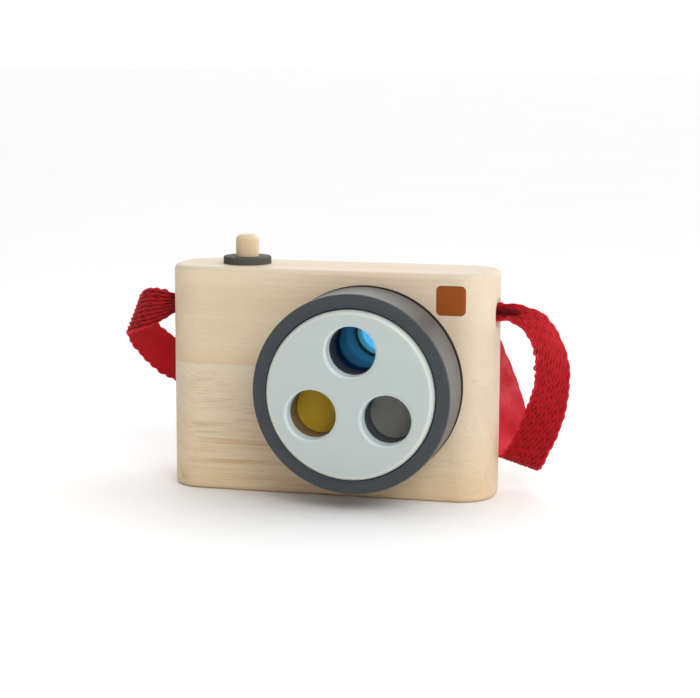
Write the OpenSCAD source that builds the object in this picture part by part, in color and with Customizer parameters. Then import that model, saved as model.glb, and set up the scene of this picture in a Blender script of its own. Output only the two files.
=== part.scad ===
// Wooden toy camera with a turning lens of three colour filters, a spring button and a webbing strap.
// +Z is up, the front faces -Y and the origin is the centre of the base.

/* [Body] */
// Width of the wood block
body_w = 120; // [104:1:150]
// Height of the wood block
body_h = 82; // [80:0.5:100]
// Depth of the wood block, front to back
body_d = 32; // [30:0.5:44]
// Radius of the four upright corners
corner_r = 13; // [6:0.5:14]
// Rounding of the top and bottom edges
edge_r = 2; // [0.8:0.1:3]

/* [Viewing tunnel] */
// Diameter of the tunnel behind the lens
tunnel_d = 19; // [17.6:0.1:20]
// Diameter of the eyepiece opening at the back
eyepiece_d = 17; // [12:0.1:17.4]
// Length of the narrower eyepiece bore
eyepiece_len = 8; // [4:0.5:14]
// Rounding of the eyepiece's rim
eyepiece_round = 1.2; // [0.4:0.1:2]

/* [Lens barrel] */
// Lens axis, from the right side of the body
lens_from_side = 45.2; // [38:0.1:52]
// Height of the lens axis above the base
lens_z = 41.8; // [38:0.1:44]
// Outside diameter of the barrel
barrel_d = 70.4; // [68:0.1:74]
// Length of the barrel
barrel_t = 21.5; // [19:0.1:28]
// Rounding of the barrel's edges
barrel_round = 0.6; // [0.3:0.1:2]
// Gap between barrel and body, filled at the rim by the dark spacer ring
lens_gap = 2; // [0.8:0.05:3]
// Outside diameter of the spacer ring
spacer_d = 70.8; // [66:0.1:74]
// Inside diameter of the spacer ring
spacer_bore_d = 52; // [50:0.1:60]
// Turn of the lens as it stands, seen from the front
lens_turn = -1.6; // [-30:0.1:30]

/* [Lens face] */
// Diameter of the face disc
face_d = 59.6; // [57:0.1:62]
// Thickness of the face disc
face_t = 6; // [5:0.1:9]
// Height of the face disc above the barrel's front
face_proud = 2.6; // [1.6:0.1:3.6]
// Rounding of the face disc's front edge
face_round = 1.7; // [0.3:0.1:2.2]
// Width of the open groove round the face disc
groove_w = 0.5; // [0.2:0.05:0.8]
// Depth of that groove
groove_depth = 2.2; // [1:0.1:2.4]
// Diameter of the three holes
hole_d = 17.6; // [14:0.1:18.4]
// Radius of the circle that the holes' centres lie on
hole_circle_r = 15.4; // [14.8:0.1:17]
// Rounding of the holes' front edges
hole_round = 1.2; // [0.3:0.1:1.5]

/* [Filters] */
// Diameter of the tinted discs
filter_d = 19.4; // [18.8:0.1:20.2]
// Thickness of the tinted discs
filter_t = 2; // [1:0.1:4]
// Depth of their seats, from the back of the barrel
filter_seat = 8.8; // [5:0.1:10]

/* [Lens axle] */
// Diameter of the screw's plain shoulder
axle_d = 6; // [4:0.1:6.4]
// Diameter of the screw's thread in the wood
thread_d = 4.6; // [3:0.1:5.4]
// Length of the thread
thread_len = 18; // [10:0.5:24]
// Diameter of the screw's head
head_d = 10; // [8:0.1:10.4]
// Height of the screw's head
head_t = 3; // [2:0.1:4]
// Diameter of the steel washer under the screw's head
washer_d = 10.6; // [9:0.1:11]
// Thickness of the steel washer
washer_t = 0.8; // [0.5:0.1:1.2]
// Width across the flats of the head's hex socket
socket_w = 4; // [3:0.1:5]
// Depth of that socket
socket_depth = 2; // [1:0.1:2.5]
// Depth of the head's pocket under the face disc
pocket_depth = 6; // [5.6:0.1:8]

/* [Shutter button] */
// Button axis, from the left side of the body
button_from_side = 26.4; // [24:0.1:34]
// Diameter of the button's stem
stem_d = 8.4; // [6:0.1:9]
// Height of the button above the collar
button_proud = 8; // [6:0.1:11]
// Rounding of the button's top
button_round = 2.2; // [0.5:0.1:2.8]
// Diameter of the flange that keeps the button in
flange_d = 12; // [11:0.1:13]
// Thickness of that flange
flange_t = 3; // [2:0.1:4]
// How far the button can be pressed
button_travel = 4; // [2:0.1:5]
// Outside diameter of the collar
collar_d = 17.6; // [16:0.1:20]
// Height of the collar
collar_h = 2.7; // [2:0.1:4]
// Rounding of the collar's top edge
collar_round = 0.6; // [0.2:0.1:0.9]
// Depth of the button's bore in the body
button_bore_depth = 24; // [22:0.5:28]

/* [Spring] */
// Mean diameter of the coil
coil_d = 9; // [8.4:0.1:9.4]
// Diameter of the wire
wire_d = 0.9; // [0.6:0.05:1.1]
// Number of turns
coil_turns = 7; // [5:0.5:8]

/* [Strap] */
// Width of the webbing
strap_w = 15; // [10:0.5:16]
// Thickness of the webbing
strap_t = 1.8; // [1.2:0.1:2.4]
// Width of the webbing where it is gathered into a hole
gather_w = 5.6; // [4:0.1:7]
// Thickness of the gathered webbing
gather_t = 3.6; // [2.4:0.1:4]
// Middle of the strap holes, from the top of the body
strap_from_top = 15.5; // [12:0.5:20]
// Diameter of the strap holes
strap_hole_d = 8; // [7.6:0.1:10]
// Depth at which the strap meets its peg
strap_in = 6; // [4:0.5:8]
// Length of the peg
peg_len = 10; // [6:0.5:12]
// Rounding of the strap hole's rim
strap_hole_round = 3; // [0.5:0.1:4]

/* [Burnt mark] */
// Side of the square mark
mark_w = 10.6; // [8:0.1:12]
// Corner radius of the mark
mark_r = 1.8; // [0.5:0.1:3]
// Depth that the mark is pressed in
mark_depth = 0.3; // [0.1:0.05:0.8]
// Middle of the mark, from the right side of the body
mark_from_side = 14.6; // [12:0.1:16]
// Middle of the mark, from the top of the body
mark_from_top = 9.4; // [8:0.1:10]

/* [Fits] */
// Radial clearance of a running fit
run_fit = 0.08; // [0.02:0.01:0.1]
// Radial clearance of a glued fit
glue_fit = 0.05; // [0.02:0.01:0.1]
// Play along an axis between faces that slide
end_play = 0.1; // [0.05:0.01:0.2]

/* [Hidden] */
$fn = 96;

// Cuts run this far past the faces that they open
past = 1;

lens_x = body_w / 2 - lens_from_side;
button_x = button_from_side - body_w / 2;

// Heights along the lens axis, from the body's front face towards the viewer
barrel_front = lens_gap + barrel_t;
recess_floor = barrel_front - (face_t - face_proud);
filter_front = lens_gap + filter_seat;
pocket_floor = recess_floor - pocket_depth;
// The washer and the head are clear of the pocket's wall by this much all round
pocket_clear = 0.3;
shoulder_len = pocket_floor + end_play + washer_t;
filter_angles = [90, 210, 330];

// Heights along the button's axis
collar_top = body_h + collar_h;
flange_top = body_h - end_play;
flange_bottom = flange_top - flange_t;
spring_seat = body_h - button_bore_depth;
// The nose that centres the spring is clear of the coil by this much all round
nose_clear = 1;
nose_d = coil_d - wire_d - 2 * nose_clear;
nose_len = button_travel;
coil_steps = 12;

// The strap's loop between its holes: its middle, then the direction of the line across it
strap_loop = [
    [[-66.2, -1.3, 65], [0.27, -0.07, 0.96]],
    [[-72.9, -0.4, 63.7], [0.2, 0.09, 0.98]],
    [[-78.4, 3.5, 61.1], [0.3, 0.17, 0.94]],
    [[-80.7, 9.6, 58.4], [0.24, 0.55, 0.8]],
    [[-78.3, 15.1, 50.9], [0.34, 0.68, 0.65]],
    [[-71.2, 19.1, 43.3], [0.58, 0.44, 0.68]],
    [[-62.1, 22, 37], [0.66, 0.04, 0.75]],
    [[-51.8, 23.2, 27.8], [0.41, -0.2, 0.89]],
    [[-41, 24, 18.5], [0.2, -0.5, 0.84]],
    [[-29, 24.5, 11], [0, -0.6, 0.8]],
    [[-16, 24.5, 7.5], [0, -0.65, 0.76]],
    [[-3, 24, 9], [-0.05, -0.65, 0.75]],
    [[9, 23.5, 16], [-0.15, -0.59, 0.79]],
    [[18, 23.5, 27], [-0.3, -0.6, 0.75]],
    [[25, 24.5, 39.5], [-0.3, -0.65, 0.7]],
    [[32.4, 26.1, 50.1], [-0.19, -0.76, 0.63]],
    [[40.8, 27.7, 55.3], [0.13, -0.76, 0.64]],
    [[49.1, 28.3, 53.6], [0.63, -0.55, 0.55]],
    [[54, 27.5, 45.8], [0.78, -0.58, 0.22]],
    [[57.3, 26.2, 35.6], [0.93, -0.31, 0.21]],
    [[60.7, 23.1, 25], [0.99, -0.08, 0.13]],
    [[63.6, 18.6, 15.3], [0.99, 0.01, -0.16]],
    [[65.7, 12.4, 10.3], [0.96, 0.06, -0.28]],
    [[68.7, 6.9, 12.3], [0.94, 0.01, -0.35]],
    [[72.7, 4, 19.8], [0.89, -0.17, -0.42]],
    [[76.4, 2.6, 29.1], [0.95, 0.18, -0.27]],
    [[78.9, 1.5, 38.9], [0.85, 0.53, 0]],
    [[79.4, 0.4, 48.7], [0.73, 0.67, 0.12]],
    [[76.6, -0.1, 58.1], [0.38, 0.82, 0.44]],
    [[71.7, 0.1, 64.3], [0.28, 0.88, 0.38]],
    [[65.3, 0.1, 66.4], [0.09, 0.81, 0.57]]
];
// The loop is drawn for a body of these sizes, and grows and shrinks with the body
drawn_w = 120;
drawn_d = 32;
drawn_strap_z = 66.5;
strap_z = body_h - strap_from_top;
loop_scale = [body_w / drawn_w, body_d / drawn_d, strap_z / drawn_strap_z];
strap_path = concat(
    [[[strap_in - body_w / 2, 0, strap_z], [0, 0, 1]], [[-body_w / 2, 0, strap_z], [0, 0, 1]]],
    [for (p = strap_loop) [[for (i = [0 : 2]) p[0][i] * loop_scale[i]], p[1]]],
    [[[body_w / 2, 0, strap_z], [0, 0.76, 0.65]], [[body_w / 2 - strap_in, 0, strap_z], [0, 0.71, 0.71]]]
);
strap_steps = 2;
// The webbing is gathered this far from each end, and spreads to its full width over the next length
gather_len = 5;
spread_left = 13;
spread_right = 22;

// Smooth step from 0 to 1
function ease(t) = let (u = min(max(t, 0), 1)) u * u * (3 - 2 * u);

function unit(v) = v / norm(v);

// Point at t between points i and i + 1 of a list, on a curve through all of them
function along(p, i, t) =
    let (b = p[i], c = p[i + 1])
    let (a = i > 0 ? p[i - 1] : 2 * b - c)
    let (d = i + 2 < len(p) ? p[i + 2] : 2 * c - b)
    (2 * b + (c - a) * t + (2 * a - 5 * b + 4 * c - d) * t * t + (3 * b - a - 3 * c + d) * t * t * t) / 2;

// All points of that curve, with n steps between each two points of the list
function curve(p, n) =
    concat([for (i = [0 : len(p) - 2], k = [0 : n - 1]) along(p, i, k / n)], [p[len(p) - 1]]);

// Direction of a list of points at index i
function heading(p, i) = unit(p[min(i + 1, len(p) - 1)] - p[max(i - 1, 0)]);

// Running length at each point of a list
function lengths(p, i = 0, sum = 0) =
    i == len(p) ? [] : concat([sum], lengths(p, i + 1, sum + (i + 1 < len(p) ? norm(p[i + 1] - p[i]) : 0)));

// Tube through rings of points, closed by a flat cap at each end
module loft(rings) {
    n = len(rings[0]);
    last = len(rings) - 1;
    sides = [for (r = [0 : last - 1], k = [0 : n - 1])
        let (a = r * n + k, b = r * n + (k + 1) % n)
        each [[a, b, b + n], [a, b + n, a + n]]];
    caps = [[for (k = [0 : n - 1]) n - 1 - k], [for (k = [0 : n - 1]) last * n + k]];
    polyhedron(points = [for (ring = rings) each ring], faces = concat(sides, caps), convexity = 10);
}

// Rectangle with rounded corners, standing on the x axis and centred on the y axis
module rounded_rect(w, h, r) {
    translate([-w / 2, r]) square([w, h - 2 * r]);
    translate([r - w / 2, 0]) square([w - 2 * r, h]);
    for (x = [r - w / 2, w / 2 - r], y = [r, h - r])
        translate([x, y]) circle(r);
}

// Disc with rounded edges, standing on the xy plane
module rounded_disc(d, h, r) {
    rotate_extrude()
        intersection() {
            rounded_rect(d, h, r);
            square([d / 2, h]);
        }
}

// Disc with only its upper edge rounded, standing on the xy plane
module top_rounded_disc(d, h, r) {
    rotate_extrude()
        intersection() {
            translate([0, -h]) rounded_rect(d, 2 * h, r);
            square([d / 2, h]);
        }
}

// Cut that rounds the rim of a hole of diameter d, in a face on the xy plane
module rim_cut(d, r) {
    rotate_extrude()
        difference() {
            translate([0, -r]) square([d / 2 + r, r + past]);
            translate([d / 2 + r, -r]) circle(r);
        }
}

// Ring with square edges, standing on the xy plane
module washer(outer, inner, h) {
    difference() {
        cylinder(d = outer, h = h);
        translate([0, 0, -past]) cylinder(d = inner, h = h + 2 * past);
    }
}

// Places what follows on the lens axis, with z running from the body's front face to the viewer
module on_lens_axis() {
    translate([lens_x, -body_d / 2, lens_z]) rotate([90, 0, 0]) children();
}

// Places what follows on the centre of a lens hole
module at_hole(angle) {
    rotate(lens_turn + angle) translate([hole_circle_r, 0, 0]) children();
}

// Places what follows at the mouth of a strap hole, with z pointing out of the body
module at_strap_hole(side) {
    translate([side * body_w / 2, 0, strap_z]) rotate([0, side * 90, 0]) children();
}

// Wood block before it is drilled: four rounded columns and the two prisms that join them
module body_blank() {
    half_x = body_w / 2 - corner_r;
    half_y = body_d / 2 - corner_r;
    for (x = [-half_x, half_x], y = [-half_y, half_y])
        translate([x, y, 0]) rounded_disc(2 * corner_r, body_h, edge_r);
    translate([-half_x, 0, 0]) rotate([90, 0, 90])
        linear_extrude(2 * half_x) rounded_rect(body_d, body_h, edge_r);
    translate([0, half_y, 0]) rotate([90, 0, 0])
        linear_extrude(2 * half_y) rounded_rect(body_w, body_h, edge_r);
}

// Stepped bore through the body, behind the upper lens hole
module tunnel_cut() {
    step = eyepiece_len - body_d;
    translate([0, hole_circle_r, step]) cylinder(d = tunnel_d, h = past - step);
    translate([0, hole_circle_r, -body_d - past]) cylinder(d = eyepiece_d, h = eyepiece_len + 2 * past);
    translate([0, hole_circle_r, -body_d]) mirror([0, 0, 1]) rim_cut(eyepiece_d, eyepiece_round);
}

module strap_hole_cut(side) {
    depth = strap_in + peg_len;
    at_strap_hole(side) {
        translate([0, 0, -depth]) cylinder(d = strap_hole_d, h = depth + past);
        rim_cut(strap_hole_d, strap_hole_round);
    }
}

module mark_cut() {
    translate([body_w / 2 - mark_from_side, mark_depth - body_d / 2, body_h - mark_from_top - mark_w / 2])
        rotate([90, 0, 0]) linear_extrude(mark_depth + past) rounded_rect(mark_w, mark_w, mark_r);
}

module body() {
    color([0.86, 0.78, 0.65])
        difference() {
            body_blank();
            on_lens_axis() {
                tunnel_cut();
                translate([0, 0, -thread_len]) cylinder(d = thread_d, h = thread_len + past);
            }
            translate([button_x, 0, spring_seat])
                cylinder(d = flange_d + 2 * run_fit, h = button_bore_depth + past);
            for (side = [-1, 1]) strap_hole_cut(side);
            mark_cut();
        }
}

module lens_barrel() {
    color([0.27, 0.29, 0.3])
        on_lens_axis()
            difference() {
                translate([0, 0, lens_gap]) rounded_disc(barrel_d, barrel_t, barrel_round);
                translate([0, 0, recess_floor]) cylinder(d = face_d + 2 * glue_fit, h = barrel_t);
                translate([0, 0, barrel_front - groove_depth])
                    cylinder(d = face_d + 2 * groove_w, h = barrel_t);
                for (angle = filter_angles) at_hole(angle) {
                    cylinder(d = hole_d, h = barrel_front);
                    cylinder(d = filter_d + 2 * glue_fit, h = filter_front);
                }
                cylinder(d = axle_d + 2 * run_fit, h = barrel_front);
                translate([0, 0, pocket_floor]) cylinder(d = washer_d + 2 * pocket_clear, h = barrel_t);
            }
}

module lens_face() {
    color([0.74, 0.77, 0.75])
        on_lens_axis()
            translate([0, 0, recess_floor])
                difference() {
                    top_rounded_disc(face_d, face_t, face_round);
                    for (angle = filter_angles) at_hole(angle) {
                        translate([0, 0, -past]) cylinder(d = hole_d, h = face_t + 2 * past);
                        translate([0, 0, face_t]) rim_cut(hole_d, hole_round);
                    }
                }
}

module filter_disc(angle, tint) {
    color(tint)
        on_lens_axis() at_hole(angle)
            translate([0, 0, filter_front - filter_t]) cylinder(d = filter_d, h = filter_t);
}

module filter_blue() {
    filter_disc(filter_angles[0], [0.02, 0.4, 0.62]);
}

module filter_yellow() {
    filter_disc(filter_angles[1], [0.62, 0.5, 0.12]);
}

module filter_grey() {
    filter_disc(filter_angles[2], [0.4, 0.4, 0.38]);
}

module lens_axle() {
    color([0.7, 0.71, 0.73])
        on_lens_axis() {
            translate([0, 0, -thread_len]) cylinder(d = thread_d, h = thread_len + past);
            cylinder(d = axle_d, h = shoulder_len);
            translate([0, 0, shoulder_len])
                difference() {
                    cylinder(d = head_d, h = head_t);
                    translate([0, 0, head_t - socket_depth])
                        cylinder(d = socket_w / cos(30), h = socket_depth + past, $fn = 6);
                }
        }
}

module axle_washer() {
    color([0.6, 0.61, 0.63])
        on_lens_axis()
            translate([0, 0, pocket_floor + end_play]) washer(washer_d, axle_d + 2 * run_fit, washer_t);
}

// Dark ring on the body that the barrel turns against
module spacer_ring() {
    color([0.1, 0.1, 0.1])
        on_lens_axis() washer(spacer_d, spacer_bore_d, lens_gap - end_play);
}

module button_collar() {
    color([0.32, 0.32, 0.3])
        translate([button_x, 0, body_h])
            difference() {
                top_rounded_disc(collar_d, collar_h, collar_round);
                translate([0, 0, -past]) cylinder(d = stem_d + 2 * run_fit, h = collar_h + 2 * past);
            }
}

module shutter_button() {
    color([0.84, 0.76, 0.62])
        translate([button_x, 0, 0]) {
            translate([0, 0, flange_bottom])
                top_rounded_disc(stem_d, collar_top + button_proud - flange_bottom, button_round);
            translate([0, 0, flange_bottom]) cylinder(d = flange_d, h = flange_t);
            translate([0, 0, flange_bottom - nose_len]) cylinder(d = nose_d, h = nose_len + past);
        }
}

// Middle of the wire along the coil, which stays clear of the seat below and of the flange above
coil_path =
    let (low = spring_seat + end_play / 2 + wire_d / 2)
    let (rise = flange_bottom - end_play / 2 - wire_d / 2 - low)
    let (count = round(coil_turns * coil_steps))
    [for (i = [0 : count])
        let (a = 360 * i / coil_steps)
        [coil_d / 2 * cos(a), coil_d / 2 * sin(a), low + rise * i / count]];

// Six-sided ring of the wire at a point of the coil
function wire_ring(p) =
    let (out = unit([p[0], p[1], 0]))
    [for (k = [0 : 5]) p + wire_d / 2 * (out * cos(60 * k) - [0, 0, sin(60 * k)])];

// Least gap between turns of the coil
coil_gap = min([for (i = [0 : len(coil_path) - 1], j = [i + coil_steps / 2 : len(coil_path) - 1])
    norm(coil_path[j] - coil_path[i])]) - wire_d;
echo(str("least gap between the spring's turns: ", coil_gap, " mm"));

module button_spring() {
    color([0.72, 0.73, 0.75])
        translate([button_x, 0, 0]) loft([for (p = coil_path) wire_ring(p)]);
}

// Outline of the webbing's cross-section: half widths along the line across it and along its thickness
function webbing_outline(w, t) =
    [for (p = [[1, -0.5], [1, 0.5], [0.92, 1], [-0.92, 1], [-1, 0.5], [-1, -0.5], [-0.92, -1], [0.92, -1]])
        [p[0] * w / 2, p[1] * t / 2]];

// Rings of the webbing: a skew line across it is lengthened so that the width stays true
function strap_rings() =
    let (middle = curve([for (p = strap_path) p[0]], strap_steps))
    let (across = curve([for (p = strap_path) p[1]], strap_steps))
    let (run = lengths(middle))
    let (total = run[len(run) - 1])
    [for (i = [0 : len(middle) - 1])
        let (t = heading(middle, i), a = unit(across[i]))
        let (face = unit(cross(t, a)), skew = norm(cross(t, a)))
        let (open_left = ease((run[i] - gather_len) / spread_left))
        let (open_right = ease((total - run[i] - gather_len) / spread_right))
        let (open = min(open_left, open_right))
        let (w = gather_w + (strap_w - gather_w) * open, h = gather_t + (strap_t - gather_t) * open)
        [for (p = webbing_outline(w / skew, h)) middle[i] + a * p[0] + face * p[1]]];

module strap() {
    color([0.63, 0.1, 0.12]) loft(strap_rings());
}

module strap_peg(side) {
    color([0.8, 0.7, 0.55])
        at_strap_hole(side)
            translate([0, 0, -strap_in - peg_len]) cylinder(d = strap_hole_d - 2 * glue_fit, h = peg_len);
}

module strap_peg_left() {
    strap_peg(-1);
}

module strap_peg_right() {
    strap_peg(1);
}

body();
lens_barrel();
lens_face();
filter_blue();
filter_yellow();
filter_grey();
lens_axle();
axle_washer();
spacer_ring();
button_collar();
shutter_button();
button_spring();
strap();
strap_peg_left();
strap_peg_right();
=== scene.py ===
# Looks of the wooden toy camera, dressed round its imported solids. Metres, +Z up, the front faces -Y.
import math

import bpy
import numpy as np
from mathutils import Matrix, Vector


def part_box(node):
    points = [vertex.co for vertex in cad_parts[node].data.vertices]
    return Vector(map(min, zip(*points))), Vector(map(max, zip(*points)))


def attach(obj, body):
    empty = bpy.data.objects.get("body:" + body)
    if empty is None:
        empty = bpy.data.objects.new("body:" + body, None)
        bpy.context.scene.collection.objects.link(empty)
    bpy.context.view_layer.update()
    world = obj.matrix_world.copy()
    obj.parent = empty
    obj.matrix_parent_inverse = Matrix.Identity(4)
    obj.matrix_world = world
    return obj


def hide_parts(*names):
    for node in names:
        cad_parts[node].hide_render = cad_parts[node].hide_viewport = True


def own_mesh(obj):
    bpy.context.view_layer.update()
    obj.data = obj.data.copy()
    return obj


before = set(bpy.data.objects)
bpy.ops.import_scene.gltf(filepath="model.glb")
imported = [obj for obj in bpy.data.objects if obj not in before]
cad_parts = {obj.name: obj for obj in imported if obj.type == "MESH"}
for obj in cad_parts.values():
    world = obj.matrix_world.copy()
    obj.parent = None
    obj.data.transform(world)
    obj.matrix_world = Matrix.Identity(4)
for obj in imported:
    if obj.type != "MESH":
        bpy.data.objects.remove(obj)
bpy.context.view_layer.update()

MM = 0.001
scene = bpy.context.scene


def srgb(r, g, b):
    """Linear colour of an 8-bit display colour."""
    def linear(c):
        c /= 255
        return c / 12.92 if c <= 0.04045 else ((c + 0.055) / 1.055) ** 2.4
    return (linear(r), linear(g), linear(b), 1)


def link(obj):
    scene.collection.objects.link(obj)
    return obj


# Camera: the photograph's viewpoint, found by fitting the outlines of the body and the lens
AZIMUTH, ELEVATION, ROLL = math.radians(13.40), math.radians(8.97), math.radians(0.23)
DISTANCE = 679.5 * MM
FOCAL_PX, IMAGE_W = 1916, 700
SENSOR_W = 36
TARGET = Vector((10.03, -20, 54.77)) * MM


def make_camera():
    data = bpy.data.cameras.new("camera")
    data.sensor_fit = "HORIZONTAL"
    data.sensor_width = SENSOR_W
    data.lens = FOCAL_PX / IMAGE_W * SENSOR_W
    data.clip_start, data.clip_end = 0.01, 20
    back = Vector((math.sin(AZIMUTH) * math.cos(ELEVATION), -math.cos(AZIMUTH) * math.cos(ELEVATION),
                   math.sin(ELEVATION)))
    level = (-back).cross(Vector((0, 0, 1))).normalized()
    upright = level.cross(-back)
    right = math.cos(ROLL) * level + math.sin(ROLL) * upright
    up = math.cos(ROLL) * upright - math.sin(ROLL) * level
    camera = link(bpy.data.objects.new("camera", data))
    camera.matrix_world = Matrix.Translation(TARGET + back * DISTANCE) @ \
        Matrix((right, up, back)).transposed().to_4x4()
    scene.camera = camera


make_camera()

# Strap: the route of its middle and the line across it. All of the strap's measures are in millimetres
STRAP_ROUTE = np.array([
    [-54, 0, 66.5, 0, 0, 1], [-60, 0, 66.5, 0, 0, 1], [-66.2, -1.3, 65, 0.27, -0.07, 0.96],
    [-72.9, -0.4, 63.7, 0.2, 0.09, 0.98], [-78.4, 3.5, 61.1, 0.3, 0.17, 0.94],
    [-80.7, 9.6, 58.4, 0.24, 0.55, 0.8], [-78.3, 15.1, 50.9, 0.34, 0.68, 0.65],
    [-71.2, 19.1, 43.3, 0.58, 0.44, 0.68], [-62.1, 22, 37, 0.66, 0.04, 0.75],
    [-51.8, 23.2, 27.8, 0.41, -0.2, 0.89], [-41, 24, 18.5, 0.2, -0.5, 0.84], [-29, 24.5, 11, 0, -0.6, 0.8],
    [-16, 24.5, 7.5, 0, -0.65, 0.76], [-3, 24, 9, -0.05, -0.65, 0.75], [9, 23.5, 16, -0.15, -0.59, 0.79],
    [18, 23.5, 27, -0.3, -0.6, 0.75], [25, 24.5, 39.5, -0.3, -0.65, 0.7],
    [32.4, 26.1, 50.1, -0.19, -0.76, 0.63], [40.8, 27.7, 55.3, 0.13, -0.76, 0.64],
    [49.1, 28.3, 53.6, 0.63, -0.55, 0.55], [54, 27.5, 45.8, 0.78, -0.58, 0.22],
    [57.3, 26.2, 35.6, 0.93, -0.31, 0.21], [60.7, 23.1, 25, 0.99, -0.08, 0.13],
    [63.6, 18.6, 15.3, 0.99, 0.01, -0.16], [65.7, 12.4, 10.3, 0.96, 0.06, -0.28],
    [68.7, 6.9, 12.3, 0.94, 0.01, -0.35], [72.7, 4, 19.8, 0.89, -0.17, -0.42],
    [76.4, 2.6, 29.1, 0.95, 0.18, -0.27], [78.9, 1.5, 38.9, 0.85, 0.53, 0],
    [79.4, 0.4, 48.7, 0.73, 0.67, 0.12], [76.6, -0.1, 58.1, 0.38, 0.82, 0.44],
    [71.7, 0.1, 64.3, 0.28, 0.88, 0.38], [65.3, 0.1, 66.4, 0.09, 0.81, 0.57], [60, 0, 66.5, 0, 0.76, 0.65],
    [54, 0, 66.5, 0, 0.71, 0.71],
], float)
STRAP_EXIT = (-0.060, 0, 0.0665)
# Points of the curve between two points of the route, and the even step that it is then cut into
ROUTE_STEPS, STRAP_STEP = 60, 0.33
# The woven band without its edge loops, and the same where it is gathered into a hole
BAND_W, GATHERED_LEFT, GATHERED_RIGHT = 13.5, 5.8, 7.8
HALF_W = BAND_W / 2
# How far the band stays gathered at each end, and the length in which it then spreads
GATHER_LEFT, GATHER_RIGHT, SPREAD_LEFT, SPREAD_RIGHT = 5.0, 9.5, 13.0, 12.0
# Ripples in the left end: height, half waves across half the band, and phase
RIPPLE, RIPPLE_WAVES, RIPPLE_PHASE = 0.4, 1.5, 0.6
# Cords that the left end's yarns draw together in: height, distance apart and how far they reach
CORD, CORD_PITCH, CORD_LEN, CORD_FADE = 0.34, 1.7, 26.0, 12.0
# Wrinkles in the right end: height, half waves across half the band, and their drift along it
WRINKLE, WRINKLE_WAVES, WRINKLE_DRIFT = 0.3, 3.2, 0.5
# Trough in the right end: depth, its rims' height and its half width as shares, and how far it reaches
TROUGH, TROUGH_RIM, TROUGH_HALF, TROUGH_LEN, TROUGH_FADE = 2.2, 0.3, 0.36, 9.5, 7.0
# Share of the light that is lost between the cords and in the trough, and the shaded half width there
CORD_SHADE, TROUGH_SHADE, SHADE_HALF = 0.8, 0.88, 0.62
# Warp yarns across the band, the length in which one goes over and under, and that of an edge loop
YARNS, FLOAT_PITCH, EDGE_PITCH = 18, 4.4, 3.4
# Unevenness of the weave: shift of the floats, its rate along the band and from yarn to yarn, and sway
DRIFT, DRIFT_RATE, DRIFT_STEP, SWAY = 0.13, 0.37, 2.4, 0.07
# Half length of the dip where a yarn goes under, and how far its neighbours then close in over it
DIP, CLOSE_IN = 0.92, 0.23
# Dips have uneven depths between these shares, from a list of this many for each yarn
DIP_DEPTHS, DIP_COUNT = (0.55, 1.0), 200
# Heights over the band's middle layer: ground, foot of a yarn, its flank and its dome
GROUND, YARN_FOOT, YARN_FLANK, YARN_DOME = 0.05, 0.08, 0.3, 0.3
# Share of a yarn's height that a full dip takes, and the height over the ground that counts as its crown
DIP_SHARE, CROWN_H = 0.9, 0.6
# Smooth face: points across, share of the width, depth, relief of its picks, and its crown value
SMOOTH_POINTS, SMOOTH_W, SMOOTH_DEPTH, SMOOTH_PICK, SMOOTH_CROWN = 27, 0.985, 0.62, 0.03, 0.8
POINTS_PER_YARN = 5
# Edge loops: sides and radius of their yarn, how far it starts inside the edge, its lift and swing
EDGE_SIDES, EDGE_R, EDGE_TUCK, EDGE_LIFT, EDGE_SWING = 8, 0.48, 0.25, 0.1, 0.2
# Reach of the loops, that of a slack one, and loops kept to spare before the band's start
LOOP_REACH, SLACK_REACH, SPARE_LOOPS = (0.3, 0.75), 1.3, 5
# Loops that stand open on the lower and the upper edge, by their place along it
SLACK_LOOPS = {-1: (306.5, 314.8), 1: (339.4,)}
# Lengths of the upper edge whose loops lie close: start, rise, end, fall, and the share of reach lost
CLOSE_LOOPS = ((190, 15, 262, 12, 0.85), (256, 6, 320, 8, 0.35))
# The edge loops stand higher in the light than the yarns do
EDGE_CROWN = 1.3


def catmull_rom(points, steps):
    """Points of the smooth curve through a list of points."""
    ends = np.vstack([2 * points[0] - points[1], points, 2 * points[-1] - points[-2]])
    a, b, c, d = (ends[i:len(ends) - 3 + i, None] for i in range(4))
    t = (np.arange(steps) / steps)[None, :, None]
    curve = (2 * b + (c - a) * t + (2 * a - 5 * b + 4 * c - d) * t ** 2 +
             (3 * b - a - 3 * c + d) * t ** 3) / 2
    return np.vstack([curve.reshape(-1, points.shape[1]), points[-1]])


def unit(v):
    return v / np.linalg.norm(v, axis=-1, keepdims=True)


def ease(t):
    t = np.clip(t, 0, 1)
    return t * t * (3 - 2 * t)


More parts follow.
